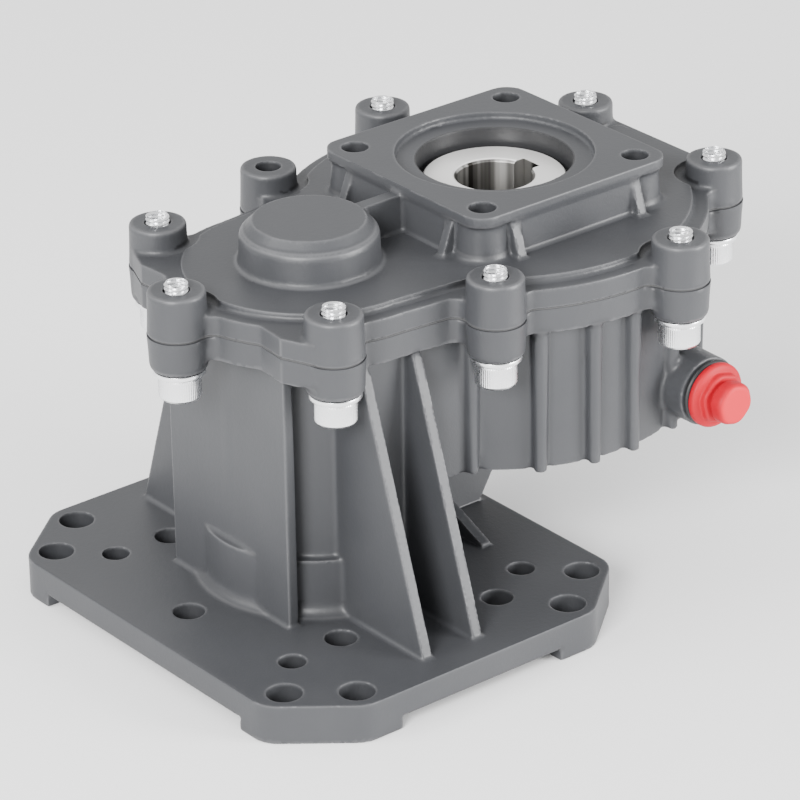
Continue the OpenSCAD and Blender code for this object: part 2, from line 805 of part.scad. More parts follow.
// Outside clip in a shaft groove: open ring with two lugs
module shaft_clip(groove_r, t, z) {
    r = groove_r + 1.25;
    color([0.35, 0.35, 0.36])
        translate([0, 0, z])
            linear_extrude(t)
                difference() {
                    union() {
                        circle(r = r + 2);
                        for (side = [-1, 1])
                            translate(polar(r + 1.6, side * 12))
                                circle(r = 1.9);
                    }
                    circle(r = groove_r + 0.05);
                    translate([0, -1.6])
                        square([r + 8, 3.2]);
                    for (side = [-1, 1])
                        translate(polar(r + 1.7, side * 12))
                            circle(r = 0.9);
                }
}

module output_circlip() {
    translate(out_at)
        shaft_clip(out_lower[0] - out_groove, out_clip_t - 0.1, out_lower_z - out_clip_t + 0.05);
}

module input_circlip() {
    shaft_clip(in_lower[0] - in_groove, in_clip_t - 0.1, in_lower_z - in_clip_t + 0.05);
}

// Inside clip in the drum's groove: open ring with two inward lugs
module bearing_circlip() {
    r = in_lower[1];
    color([0.35, 0.35, 0.36])
        translate([0, 0, in_lower_z - bearing_clip_t + 0.02])
            linear_extrude(bearing_clip_t - 0.1)
                difference() {
                    circle(r = r + 1.1);
                    difference() {
                        circle(r = r - 2.4);
                        for (side = [-1, 1])
                            translate(polar(r - 2.2, 180 + side * 9))
                                circle(r = 2);
                    }
                    translate([-r - 5, -1.7])
                        square([12, 3.4]);
                    for (side = [-1, 1])
                        translate(polar(r - 2.4, 180 + side * 9))
                            circle(r = 0.9);
                }
}

// Ball bearing parts: pitch radius, ball radius, then races, cage and balls
function pitch_r(b) = (b[0] + b[1]) / 2;
function ball_r(b) = (b[1] - b[0]) * 0.29;

module outer_race(b, z) {
    shoulder = pitch_r(b) + 0.55 * ball_r(b);
    color([0.75, 0.76, 0.78])
        translate([0, 0, z])
            difference() {
                turned(shoulder, b[1], 0, b[2], 0.5);
                translate([0, 0, b[2] / 2])
                    rotate_extrude()
                        translate([pitch_r(b), 0])
                            circle(r = ball_r(b) + run_gap);
            }
}

module inner_race(b, z) {
    shoulder = pitch_r(b) - 0.55 * ball_r(b);
    color([0.75, 0.76, 0.78])
        translate([0, 0, z])
            difference() {
                turned(b[0] + seat_gap, shoulder, 0, b[2], 0.4);
                translate([0, 0, b[2] / 2])
                    rotate_extrude()
                        translate([pitch_r(b), 0])
                            circle(r = ball_r(b) + run_gap);
            }
}

module cage(b, z) {
    w = 0.33 * ball_r(b);
    h = 1.2 * ball_r(b);
    color([0.72, 0.6, 0.34])
        translate([0, 0, z + b[2] / 2])
            difference() {
                ring(pitch_r(b) + w, pitch_r(b) - w, -h, h);
                for (i = [0:b[3] - 1])
                    rotate(360 * i / b[3])
                        translate([pitch_r(b) - 2 * w, 0, 0])
                            rotate([0, 90, 0])
                                cylinder(r = ball_r(b) + 0.08, h = 4 * w);
            }
}

module balls(b, z) {
    color([0.85, 0.86, 0.88])
        for (i = [0:b[3] - 1])
            translate([0, 0, z + b[2] / 2])
                rotate(360 * i / b[3])
                    translate([pitch_r(b), 0, 0])
                        sphere(r = ball_r(b));
}

module out_upper_outer() { translate(out_at) outer_race(out_upper, out_upper_z); }
module out_upper_inner() { translate(out_at) inner_race(out_upper, out_upper_z); }
module out_upper_cage() { translate(out_at) cage(out_upper, out_upper_z); }
module out_upper_balls() { translate(out_at) balls(out_upper, out_upper_z); }
module out_lower_outer() { translate(out_at) outer_race(out_lower, out_lower_z); }
module out_lower_inner() { translate(out_at) inner_race(out_lower, out_lower_z); }
module out_lower_cage() { translate(out_at) cage(out_lower, out_lower_z); }
module out_lower_balls() { translate(out_at) balls(out_lower, out_lower_z); }
module in_upper_outer() { outer_race(in_upper, in_upper_z); }
module in_upper_inner() { inner_race(in_upper, in_upper_z); }
module in_upper_cage() { cage(in_upper, in_upper_z); }
module in_upper_balls() { balls(in_upper, in_upper_z); }
module in_lower_outer() { outer_race(in_lower, in_lower_z); }
module in_lower_inner() { inner_race(in_lower, in_lower_z); }
module in_lower_cage() { cage(in_lower, in_lower_z); }
module in_lower_balls() { balls(in_lower, in_lower_z); }

gear_housing();
gear_cover();
cover_gasket();
cover_screws();
cover_washers();
dowel_pins();
oil_plug();
oil_plug_seal();
output_seal();
input_seal();
output_shaft();
output_gear();
gear_key();
output_circlip();
input_shaft();
input_circlip();
bearing_circlip();
out_upper_outer();
out_upper_inner();
out_upper_cage();
out_upper_balls();
out_lower_outer();
out_lower_inner();
out_lower_cage();
out_lower_balls();
in_upper_outer();
in_upper_inner();
in_upper_cage();
in_upper_balls();
in_lower_outer();
in_lower_inner();
in_lower_cage();
in_lower_balls();
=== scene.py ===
# %% [markdown]
# # A speed reducer gearbox
# Two grey castings hold a pair of spur gears. The part bolts to an engine's face by its foot, and a
# pump sits on the square flange. The CAD model gives every solid at its real size and place, and
# this lesson dresses it: soft cast edges, threads, knurled heads, a moulded plug, and a finish for
# each piece.

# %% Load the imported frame
import json
import math
import bpy
import bmesh
import numpy as np
from mathutils import Matrix, Vector, kdtree


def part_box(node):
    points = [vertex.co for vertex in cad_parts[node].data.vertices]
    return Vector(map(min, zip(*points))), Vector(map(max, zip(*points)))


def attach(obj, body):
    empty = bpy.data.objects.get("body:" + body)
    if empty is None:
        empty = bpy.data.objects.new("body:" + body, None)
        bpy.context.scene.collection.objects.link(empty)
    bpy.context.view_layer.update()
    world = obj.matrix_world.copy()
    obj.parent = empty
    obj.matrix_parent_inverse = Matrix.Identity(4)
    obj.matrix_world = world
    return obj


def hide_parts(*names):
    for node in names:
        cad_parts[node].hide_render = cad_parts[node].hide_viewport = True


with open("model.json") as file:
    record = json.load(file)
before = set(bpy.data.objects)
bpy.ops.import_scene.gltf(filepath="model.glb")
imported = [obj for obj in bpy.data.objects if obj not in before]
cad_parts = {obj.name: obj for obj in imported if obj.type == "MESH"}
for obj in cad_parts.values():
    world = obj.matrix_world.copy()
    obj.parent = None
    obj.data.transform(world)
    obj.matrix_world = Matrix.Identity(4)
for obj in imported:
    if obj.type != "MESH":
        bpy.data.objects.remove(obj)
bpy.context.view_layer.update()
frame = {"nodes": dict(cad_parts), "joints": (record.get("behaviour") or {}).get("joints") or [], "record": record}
MM = 0.001

# %% [markdown]
# ## The levels that every piece is set against
# Nothing is typed twice: the shafts' axes and the heights of the faces are read from the CAD nodes.

# %% Read the axes and levels from the nodes
joint_at = {joint["child"]: Vector(joint["pos_m"]) for joint in frame["joints"]}
output_axis = joint_at["output_rotor"]
input_axis = joint_at["input_rotor"]
joint_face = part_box("gear_housing")[1].z
cover_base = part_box("gear_cover")[0].z
shaft_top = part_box("output_shaft")[1].z
print("output axis at x =", round(output_axis.x / MM, 2))
print("joint face at z =", round(joint_face / MM, 2))


# %% [markdown]
# ## Camera
# The photograph is taken with a long lens from above the left front corner, so the camera stands
# far away. Its place, its direction and its small roll come from fitting the foot's bolt holes.

# %% Place the camera
CAMERA_PLACE = Vector((-749.7, -977.8, 676.1)) * MM
CAMERA_LOOK = Vector((0.5608, 0.6997, -0.4426))
CAMERA_ROLL = math.radians(-0.89)
SENSOR_WIDTH = 36
FOCAL_LENGTH = 201.6
FAR_CLIP = 20
camera_data = bpy.data.cameras.new("photo_camera")
camera = bpy.data.objects.new("photo_camera", camera_data)
bpy.context.scene.collection.objects.link(camera)
camera_data.sensor_width = SENSOR_WIDTH
camera_data.lens = FOCAL_LENGTH
camera_data.clip_end = FAR_CLIP
turn = CAMERA_LOOK.to_track_quat("-Z", "Y").to_matrix() @ Matrix.Rotation(CAMERA_ROLL, 3, "Z")
camera.matrix_world = Matrix.Translation(CAMERA_PLACE) @ turn.to_4x4()
bpy.context.scene.camera = camera
print("camera looks along", [round(v, 3) for v in CAMERA_LOOK])


# %% [markdown]
# ## Small helpers for modelling
# Operators act on what is selected and active, so each helper first clears the selection. A
# finished piece is applied: its object sits at the origin and its place is in its mesh. A CAD
# node's mesh is loose triangles, so it is only worked on as a copy whose doubles are merged.

# %% Helpers that select, apply and merge
WELD = 0.002 * MM


def only(piece):
    if bpy.context.object and bpy.context.object.mode != "OBJECT":
        bpy.ops.object.mode_set(mode="OBJECT")
    bpy.ops.object.select_all(action="DESELECT")
    piece.select_set(True)
    bpy.context.view_layer.objects.active = piece
    return piece


def modify(piece, kind, **settings):
    only(piece)
    modifier = piece.modifiers.new(kind.lower(), kind)
    for key, value in settings.items():
        setattr(modifier, key, value)
    bpy.ops.object.modifier_apply(modifier=modifier.name)


def applied(piece):
    only(piece)
    bpy.ops.object.transform_apply(location=True, rotation=True, scale=True)
    return piece


def copy_of(node, name):
    piece = bpy.data.objects.new(name, frame["nodes"][node].data.copy())
    bpy.context.scene.collection.objects.link(piece)
    only(piece)
    bpy.ops.object.mode_set(mode="EDIT")
    bpy.ops.mesh.select_all(action="SELECT")
    bpy.ops.mesh.remove_doubles(threshold=WELD)
    bpy.ops.object.mode_set(mode="OBJECT")
    piece.data.materials.clear()
    return piece


def remove(piece):
    bpy.data.objects.remove(piece, do_unlink=True)


def coordinates(piece):
    flat = np.empty(len(piece.data.vertices) * 3, np.float32)
    piece.data.vertices.foreach_get("co", flat)
    return flat.reshape(-1, 3)


def triangles(piece):
    return sum(len(face.vertices) - 2 for face in piece.data.polygons)


# %% [markdown]
# ## Softening a casting
# A sand or die casting has no sharp corner: outside edges are broken, inside corners carry a
# fillet. Beveling hundreds of crossing edges by hand would take days, so the sharp CAD skin is
# rebuilt from small voxels and pressed back onto the CAD faces. Points beside an outside edge are
# drawn onto it, which keeps it straight, and only then are the corners relaxed. The facet lines of
# round walls are smoothed away too, and each flat becomes one face, so it shades as a true flat.

# %% Find the corners of a sharp skin
FLAT_BEND = math.radians(1)
FACET_BEND = math.radians(24)
CORNER_STEP = 0.25 * MM
FACET_STEP = 4 * CORNER_STEP


def corner_points(piece):
    mesh = bmesh.new()
    mesh.from_mesh(piece.data)
    convex, concave, facets = [], [], []
    for edge in mesh.edges:
        bend = edge.calc_face_angle_signed(0)
        if abs(bend) < FLAT_BEND:
            continue
        slight = abs(bend) < FACET_BEND
        a, b = edge.verts[0].co, edge.verts[1].co
        count = max(1, int((b - a).length / (FACET_STEP if slight else CORNER_STEP)))
        into = facets if slight else convex if bend > 0 else concave
        into.extend(a.lerp(b, (i + 0.5) / count) for i in range(count))
    mesh.free()
    return convex, concave, facets


# %% Measure to the nearest corner, and turn weights into a vertex group
WEIGHT_LEVELS = 20


def nearest(points, places):
    tree = kdtree.KDTree(len(points))
    for i, point in enumerate(points):
        tree.insert(point, i)
    tree.balance()
    found = [tree.find(place) for place in places]
    return np.array([f[0] for f in found], np.float32), np.array([f[2] for f in found])


def paint_group(piece, name, weights):
    group = piece.vertex_groups.new(name=name)
    steps = np.round(np.clip(weights, 0, 1) * WEIGHT_LEVELS).astype(int)
    for level in range(1, WEIGHT_LEVELS + 1):
        group.add(np.flatnonzero(steps == level).tolist(), level / WEIGHT_LEVELS, "REPLACE")


# %% [markdown]
# ## Marks for worn edges, painted highlight and painted shade
# On a real casting the paint is thin on edges. Here edges are also made lighter as a painted
# highlight, and corners and holes are made darker as painted shade. A finish can't see an edge by
# itself, so every point is marked with how near it lies to an outside edge or an inside corner, and
# with how close a wall faces it across a hole. A mark on a large flat would smear over the whole
# face, so the points of large faces get none.

# %% Mark the edges, crevices and holes
EDGE_MARK = 0.75 * MM
LARGE_FACE = 3 * MM * MM
HOLE_ACROSS = 13 * MM
HOLE_GAIN = 1.6
RAY_START = 0.1 * MM


def facing_wall(piece, vert):
    start = vert.co + vert.normal * RAY_START
    hit, place = piece.ray_cast(start, vert.normal, distance=HOLE_ACROSS)[:2]
    return min(1, HOLE_GAIN * (1 - (place - start).length / HOLE_ACROSS)) if hit else 0


def add_mark(piece, name, values):
    layer = piece.data.attributes.new(name, "FLOAT", "POINT")
    layer.data.foreach_set("value", values.astype(np.float32))


def mark_corners(piece, convex, concave, fillet_at):
    places = coordinates(piece)
    widest = np.zeros(len(places), np.float32)
    for face in piece.data.polygons:
        corners = list(face.vertices)
        widest[corners] = np.maximum(widest[corners], face.area)
    small = np.clip(2 - widest / LARGE_FACE, 0, 1)
    # The edge mark lightens edges for thin paint and a painted highlight; the crevice mark darkens inside corners
    # as painted shade.
    reaches = (("edge", convex, EDGE_MARK), ("crevice", concave, fillet_at(places)))
    for name, points, reach in reaches:
        values = 1 - np.minimum(nearest(points, places)[1], reach) / reach
        add_mark(piece, name, values * small)
    # The hole mark darkens the walls of holes as painted shade, more where a wall faces close across.
    depth = [facing_wall(piece, vert) for vert in piece.data.vertices]
    add_mark(piece, "hole", np.array(depth) * small)


# %% [markdown]
# ## The steps of the softening
# Each casting says how large its fillets are at a place, and at which level it is machined flat, so
# that the joint between the two stays crisp. Vertex groups then carry how much each point may move:
# near inside corners a lot, near outside edges a little, and on flats not at all. A gain sets how
# strongly a corner's points are relaxed, a margin how far beside it the faces are left free, and
# the rounds how often the points are smoothed.

# %% Soften a casting and press it back on its pattern
VOXEL = 0.62 * MM
EDGE = 0.8 * MM
MACHINED_FILLET = 0.5 * MM
MACHINED_BAND = 0.8 * MM
SNAP_REACH = 0.72 * VOXEL
FILLET_GAIN, FILLET_MARGIN, FILLET_ROUNDS = 1.6, 1.15, 26
EDGE_GAIN, EDGE_MARGIN, EDGE_ROUNDS = 1.2, 2, 4
FLAT_GAIN = 6
FACET_REACH, FACET_ROUNDS = 1.8 * MM, 24
MOST_TRIANGLES = 195000
MERGED_FLAT = math.radians(0.3)
SHARP = math.radians(62)


def press_on(piece, pattern, group=""):
    modify(piece, "SHRINKWRAP", target=pattern, wrap_method="NEAREST_SURFACEPOINT",
           vertex_group=group)


def relax(piece, rounds, group=""):
    modify(piece, "SMOOTH", factor=0.5, iterations=rounds, vertex_group=group)


def soften(piece, fillet_at, crisp_level):
    pattern = piece.copy()
    pattern.data = piece.data.copy()
    bpy.context.scene.collection.objects.link(pattern)
    convex, concave, facets = corner_points(piece)
    modify(piece, "REMESH", mode="VOXEL", voxel_size=VOXEL)
    press_on(piece, pattern)
    places = coordinates(piece)
    edge, near_out = nearest(convex, places)
    places = np.where((near_out < SNAP_REACH)[:, None], edge, places)
    piece.data.vertices.foreach_set("co", places.ravel())
    near_in = nearest(concave, places)[1]
    near_facet = nearest(facets, places)[1]
    fillet = fillet_at(places)
    machined = np.abs(places[:, 2] - crisp_level) < MACHINED_BAND
    cornered = np.maximum(1 - near_out / (EDGE_MARGIN * EDGE),
                          1 - near_in / (FILLET_MARGIN * fillet))
    flat = np.clip(-cornered * FLAT_GAIN, 0, 1)
    paint_group(piece, "inside", FILLET_GAIN * (1 - near_in / fillet))
    paint_group(piece, "outside", np.where(machined, 0, EDGE_GAIN - near_out / EDGE))
    paint_group(piece, "flat", flat)
    paint_group(piece, "faceted", flat * np.clip(2 - near_facet / FACET_REACH, 0, 1))
    relax(piece, FILLET_ROUNDS, "inside")
    relax(piece, EDGE_ROUNDS, "outside")
    press_on(piece, pattern, "flat")
    relax(piece, FACET_ROUNDS, "faceted")
    share = min(1, MOST_TRIANGLES / triangles(piece))
    modify(piece, "DECIMATE", decimate_type="COLLAPSE", ratio=share)
    modify(piece, "DECIMATE", decimate_type="DISSOLVE", angle_limit=MERGED_FLAT)
    piece.vertex_groups.clear()
    remove(pattern)
    mark_corners(piece, convex, concave, fillet_at)
    bpy.ops.object.shade_smooth_by_angle(angle=SHARP)
    modify(piece, "WEIGHTED_NORMAL", weight=50, keep_sharp=True)
    print(piece.name, "has", triangles(piece), "triangles")


# %% [markdown]
# ## The two castings
# Outside, the housing has full fillets where ribs, gussets and bosses grow out of the walls. The
# machined places keep crisp corners: everything inside, and the register that centres the pump. The
# dome over the input shaft gets the same small fillet, because its foot is just as crisp.

# %% Say how large the fillets are
REGISTER_R = 33 * MM
DRUM_INSIDE_R = 31 * MM
CASE_INSIDE_R = 58.5 * MM
DRUM_RING_TOP = 34 * MM
DOME_R = 27 * MM
PLATEAU = cover_base + 9 * MM
FOOT_FILLET = 1.5 * MM
WALL_FILLET = 2.6 * MM
BOSS_FILLET = 1.3 * MM
RIM_FILLET = 0.8 * MM


def from_axis(places, axis):
    return np.hypot(places[:, 0] - axis.x, places[:, 1] - axis.y)


def housing_fillet(places):
    in_drum = from_axis(places, input_axis) < DRUM_INSIDE_R
    in_case = from_axis(places, output_axis) < CASE_INSIDE_R
    outside = np.where(places[:, 2] < DRUM_RING_TOP, FOOT_FILLET, WALL_FILLET)
    return np.where((in_drum | in_case) & (places[:, 2] > 0), MACHINED_FILLET, outside)


def cover_fillet(places):
    register = from_axis(places, output_axis) < REGISTER_R
    dome = from_axis(places, input_axis) < DOME_R
    under = places[:, 2] < cover_base + 2 * MM
    tall = places[:, 2] > PLATEAU + 4 * MM
    outside = np.where(tall, BOSS_FILLET, RIM_FILLET)
    return np.where(register | under | dome, MACHINED_FILLET, outside)


# %% Cast the housing and the cover
housing = copy_of("gear_housing", "housing_casting")
soften(housing, housing_fillet, joint_face)
cover = copy_of("gear_cover", "cover_casting")
soften(cover, cover_fillet, cover_base)
for piece, node in ((housing, "gear_housing"), (cover, "gear_cover")):
    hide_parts(node)
    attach(piece, "housing")


# %% [markdown]
# ## Cover screws
# Each socket screw is pushed up from below, so its knurled head shows under the rim and its thread
# end stands out of the boss. One screw is made at the origin, and each place gets its own copy. The
# places come from the CAD node that holds all the screws: its mesh is walked from point to point,
# and each walk that ends has gone over one whole screw.

# %% Find where the screws stand
def islands(node):
    mesh = bmesh.new()
    mesh.from_mesh(frame["nodes"][node].data)
    bmesh.ops.remove_doubles(mesh, verts=mesh.verts, dist=WELD)
    left, boxes = set(mesh.verts), []
    while left:
        queue = [left.pop()]
        points = []
        while queue:
            vert = queue.pop()
            points.append(vert.co.copy())
            for edge in vert.link_edges:
                other = edge.other_vert(vert)
                if other in left:
                    left.remove(other)
                    queue.append(other)
        array = np.array(points)
        boxes.append((Vector(array.min(0)), Vector(array.max(0))))
    mesh.free()
    return sorted(boxes, key=lambda box: (round(box[0].x, 4), round(box[0].y, 4)))


screw_boxes = islands("cover_screws")
screw_low, screw_high = screw_boxes[0]
head_r = (screw_high.x - screw_low.x) / 2
print(len(screw_boxes), "screws, head radius", round(head_r / MM, 2))

# %% [markdown]
# ## Turning, threading and cutting
# A lathe makes round pieces, and the Screw modifier is Blender's lathe: it turns an outline, drawn
# here as pairs of radius and height from the axis outwards and back. With a lift at each turn the
# same modifier makes a thread from one zigzag. The thread is then cut to a blank with a broken end,
# which gives the bevelled point that lets a real screw find its hole.

# %% Helpers that turn an outline and cut a piece
SEAM = 0.001 * MM


def turned(name, outline, steps=64):
    profile = bpy.data.meshes.new(name)
    lines = [(i, i + 1) for i in range(len(outline) - 1)]
    profile.from_pydata([(r, 0, z) for r, z in outline], lines, [])
    piece = bpy.data.objects.new(name, profile)
    bpy.context.scene.collection.objects.link(piece)
    modify(piece, "SCREW", angle=2 * math.pi, steps=steps, render_steps=steps,
           use_merge_vertices=True, merge_threshold=SEAM)
    bpy.ops.object.mode_set(mode="EDIT")
    bpy.ops.mesh.select_all(action="SELECT")
    bpy.ops.mesh.remove_doubles(threshold=WELD)
    bpy.ops.mesh.normals_make_consistent(inside=False)
    bpy.ops.object.mode_set(mode="OBJECT")
    return piece


def cut(piece, tool, how):
    modify(piece, "BOOLEAN", object=tool, operation=how, solver="EXACT")
    remove(tool)


# %% Turn the thread
SCREW_R = 3.65 * MM
PITCH = 1.25 * MM
THREAD_DEPTH = 0.55 * MM
THREAD_LONG = 7.5 * MM
THREAD_STEPS = 40
CREST_FROM, CREST_TO, ROOT_FROM = 0.42 * PITCH, 0.56 * PITCH, 0.98 * PITCH


def thread(name):
    root = SCREW_R - THREAD_DEPTH
    zigzag = [(root, 0), (SCREW_R, CREST_FROM), (SCREW_R, CREST_TO), (root, ROOT_FROM),
              (root, PITCH)]
    profile = bpy.data.meshes.new(name)
    lines = [(i, i + 1) for i in range(len(zigzag) - 1)]
    profile.from_pydata([(x, 0, z - PITCH) for x, z in zigzag], lines, [])
    piece = bpy.data.objects.new(name, profile)
    bpy.context.scene.collection.objects.link(piece)
    modify(piece, "SCREW", angle=2 * math.pi, screw_offset=PITCH,
           iterations=int(THREAD_LONG / PITCH) + 2, steps=THREAD_STEPS, render_steps=THREAD_STEPS,
           use_merge_vertices=True, merge_threshold=SEAM)
    bpy.ops.object.mode_set(mode="EDIT")
    bpy.ops.mesh.select_all(action="SELECT")
    bpy.ops.mesh.remove_doubles(threshold=WELD)
    for level, lower in ((0, True), (THREAD_LONG, False)):
        bpy.ops.mesh.select_all(action="SELECT")
        bpy.ops.mesh.bisect(plane_co=(0, 0, level), plane_no=(0, 0, 1), use_fill=True,
                            clear_inner=lower, clear_outer=not lower)
    bpy.ops.mesh.select_all(action="SELECT")
    bpy.ops.mesh.normals_make_consistent(inside=False)
    bpy.ops.object.mode_set(mode="OBJECT")
    return piece


# %% Make the pointed blank, its end a hair above the thread's own
POINT = 1.35 * MM
POINT_H = 1 * MM
SPARE = 1 * MM
HAIR = 0.001 * MM


def pointed_blank():
    bpy.ops.mesh.primitive_cylinder_add(vertices=64, radius=SCREW_R, depth=THREAD_LONG + 2 * SPARE,
                                        location=(0, 0, THREAD_LONG / 2 - SPARE))
    blank = applied(bpy.context.object)
    bpy.ops.object.mode_set(mode="EDIT")
    mesh = bmesh.from_edit_mesh(blank.data)
    for face in mesh.faces:
        face.select_set(face.normal.z > 0.9)
    bpy.ops.mesh.inset(thickness=POINT)
    bpy.ops.transform.translate(value=(0, 0, HAIR))
    mesh = bmesh.from_edit_mesh(blank.data)
    for vert in mesh.verts:
        if vert.co.z > THREAD_LONG - SPARE / 2 and vert.co.xy.length > SCREW_R - 10 * HAIR:
            vert.co.z -= POINT_H
    bmesh.update_edit_mesh(blank.data)
    bpy.ops.object.mode_set(mode="OBJECT")
    return blank


# %% [markdown]
# ## The screw's head
# A socket head is turned, then rolled between toothed dies, which leaves fine knurls for the
# fingers. They are pressed in here by moving the points of a turned head in and out with a cosine,
# which is far lighter than cutting every groove. The socket for the key is a plain six sided cut.

# %% Knurl the head and sink its hexagon
HEAD_H = 8 * MM
KNURLS = 56
KNURL_DEPTH = 0.16 * MM
SOCKET_R = 3.46 * MM
SOCKET_DEEP = 4 * MM


def knurled_head():
    neck_r = head_r - 0.25 * MM
    head = turned("head", [
        (0, 0), (head_r - 0.9 * MM, 0), (head_r - 0.35 * MM, 0.2 * MM), (head_r, 0.8 * MM),
        (head_r, 1.6 * MM), (head_r, HEAD_H - 1.7 * MM), (head_r, HEAD_H - 1.1 * MM),
        (neck_r, HEAD_H - 0.5 * MM), (neck_r, HEAD_H), (0, HEAD_H)], steps=KNURLS * 4)
    for vert in head.data.vertices:
        place = vert.co
        if 1 * MM < place.z < HEAD_H - 1.2 * MM and place.xy.length > head_r - 0.1 * MM:
            wave = math.cos(math.atan2(place.y, place.x) * KNURLS)
            scale = 1 - KNURL_DEPTH * (0.5 - 0.5 * wave) / head_r
            vert.co = (place.x * scale, place.y * scale, place.z)
    bpy.ops.mesh.primitive_cylinder_add(vertices=6, radius=SOCKET_R, depth=SOCKET_DEEP * 2,
                                        location=(0, 0, 0))
    cut(head, applied(bpy.context.object), "DIFFERENCE")
    return head


# %% Join the thread end, the shank and the head
SHANK_R = SCREW_R - 0.1 * MM


def socket_screw():
    end = thread("cover_screw")
    cut(end, pointed_blank(), "INTERSECT")
    thread_low = screw_high.z - screw_low.z - THREAD_LONG
    end.data.transform(Matrix.Translation((0, 0, thread_low)))
    shank = turned("shank", [(0, HEAD_H - 1 * MM), (SHANK_R, HEAD_H - 1 * MM),
                             (SHANK_R, thread_low - 0.6 * MM),
                             (SCREW_R - THREAD_DEPTH, thread_low + 0.1 * MM),
                             (0, thread_low + 0.1 * MM)])
    head = knurled_head()
    bpy.ops.object.select_all(action="DESELECT")
    for piece in (end, shank, head):
        piece.select_set(True)
    bpy.context.view_layer.objects.active = end
    bpy.ops.object.join()
    return end


# %% Make one screw and set a copy of it in every place
SCREW_TURN = 1.7
SCREW_SHARP = math.radians(35)
screw = socket_screw()
only(screw)
bpy.ops.object.shade_smooth_by_angle(angle=SCREW_SHARP)
screws = []
for i, (low, high) in enumerate(screw_boxes):
    piece = screw.copy()
    piece.data = screw.data.copy()
    piece.name = f"cover_screw_{i + 1}"
    bpy.context.scene.collection.objects.link(piece)
    centre = (low + high) / 2
    spin = Matrix.Rotation(SCREW_TURN * i, 4, "Z")
    piece.data.transform(Matrix.Translation((centre.x, centre.y, low.z)) @ spin)
    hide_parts("cover_screws")
    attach(piece, "housing")
    screws.append(piece)
remove(screw)
print(len(screws), "screws of", triangles(screws[0]), "triangles")


# %% [markdown]
# ## Oil plug and its ring
# The plug is a moulding: a flange with a broken edge, a low hexagon collar and a raised hexagon
# head. It is roughed out of a turned stem and two hexagons, then melted together with small
# voxels, which gives the radii that a mould has. The ring behind it is a plain rubber torus,
# squeezed flat.

# %% Read the plug's place and sizes
plug_low, plug_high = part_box("oil_plug")
ring_low, ring_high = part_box("oil_plug_seal")
plug_at = Vector(((plug_low.x + plug_high.x) / 2, ring_low.y, (plug_low.z + plug_high.z) / 2))
plug_r = (plug_high.x - plug_low.x) / 2
plug_out = ring_low.y - plug_low.y
TO_PLUG = Matrix.Translation(plug_at) @ Matrix.Rotation(math.radians(90), 4, "X")
print("plug radius", round(plug_r / MM, 2), "stands out", round(plug_out / MM, 2))

# %% Round the corners of a hexagon
HEXAGON_TURN = math.radians(14)
HEXAGON_CORNER = 2.6 * MM


def rounded_hexagon(radius, low, high, brim):
    bpy.ops.mesh.primitive_cylinder_add(vertices=6, radius=radius, depth=high - low,
                                        location=(0, 0, (low + high) / 2),
                                        rotation=(0, 0, HEXAGON_TURN))
    piece = applied(bpy.context.object)
    bpy.ops.object.mode_set(mode="EDIT")
    bpy.ops.mesh.select_mode(type="EDGE")
    for width, steep in ((HEXAGON_CORNER, True), (brim, False)):
        mesh = bmesh.from_edit_mesh(piece.data)
        for face in mesh.faces:
            face.select_set(False)
        for edge in mesh.edges:
            a, b = edge.verts[0].co, edge.verts[1].co
            upright = abs(a.z - b.z) > 0.5 * MM
            on_top = min(a.z, b.z) > high - 0.01 * MM
            edge.select_set(upright if steep else on_top)
        bmesh.update_edit_mesh(piece.data)
        bpy.ops.mesh.bevel(offset=width, segments=5)
    bpy.ops.mesh.select_mode(type="VERT")
    bpy.ops.object.mode_set(mode="OBJECT")
    return piece


# %% Mould the plug
STEM_R, STEM_LONG = 7.3 * MM, 12 * MM
NECK_R = 5.3 * MM
FLANGE_T = 3 * MM
COLLAR_R, COLLAR_BRIM = plug_r - 1.6 * MM, 0.8 * MM
COLLAR_LOW, COLLAR_TOP = FLANGE_T - 1 * MM, FLANGE_T + 2.2 * MM
PLUG_HEAD_R, PLUG_HEAD_BRIM = 7.7 * MM, 1.7 * MM
PLUG_HEAD_LOW = plug_out - 4.6 * MM
PLUG_VOXEL = 0.26 * MM
PLUG_ROUNDS = 12


def plug_body():
    core_top = plug_out - 1 * MM
    stem = turned("oil_plug_moulding", [
        (0, -STEM_LONG), (STEM_R - 0.7 * MM, -STEM_LONG), (STEM_R, -STEM_LONG + 0.8 * MM),
        (STEM_R, 0), (plug_r - 0.3 * MM, 0), (plug_r, 0.4 * MM), (plug_r, FLANGE_T - 1.3 * MM),
        (plug_r - 0.4 * MM, FLANGE_T - 0.7 * MM), (plug_r - 1.5 * MM, FLANGE_T - 0.2 * MM),
        (NECK_R, FLANGE_T + 0.2 * MM), (NECK_R, core_top), (0, core_top)])
    cut(stem, rounded_hexagon(COLLAR_R, COLLAR_LOW, COLLAR_TOP, COLLAR_BRIM), "UNION")
    cut(stem, rounded_hexagon(PLUG_HEAD_R, PLUG_HEAD_LOW, plug_out, PLUG_HEAD_BRIM), "UNION")
    modify(stem, "REMESH", mode="VOXEL", voxel_size=PLUG_VOXEL)
    relax(stem, PLUG_ROUNDS)
    stem.data.transform(TO_PLUG)
    only(stem)
    bpy.ops.object.shade_smooth()
    return stem


plug = plug_body()
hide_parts("oil_plug")
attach(plug, "housing")
print("plug of", triangles(plug), "triangles")

# %% Squeeze the ring
CORD_R = 1.6 * MM
ring_t = ring_high.y - ring_low.y
ring_r = (ring_high.x - ring_low.x) / 2
bpy.ops.mesh.primitive_torus_add(major_segments=96, minor_segments=20, location=(0, 0, 0),
                                 major_radius=ring_r - CORD_R, minor_radius=CORD_R)
ring = bpy.context.object
ring.name = "plug_ring"
ring.data.transform(Matrix.Diagonal((1, 1, ring_t / (2 * CORD_R), 1)))
ring.data.transform(TO_PLUG @ Matrix.Translation((0, 0, -ring_t / 2)))
only(ring)
bpy.ops.object.shade_smooth()
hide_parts("oil_plug_seal")
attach(ring, "housing")
print("ring thickness", round(ring_t / MM, 2))


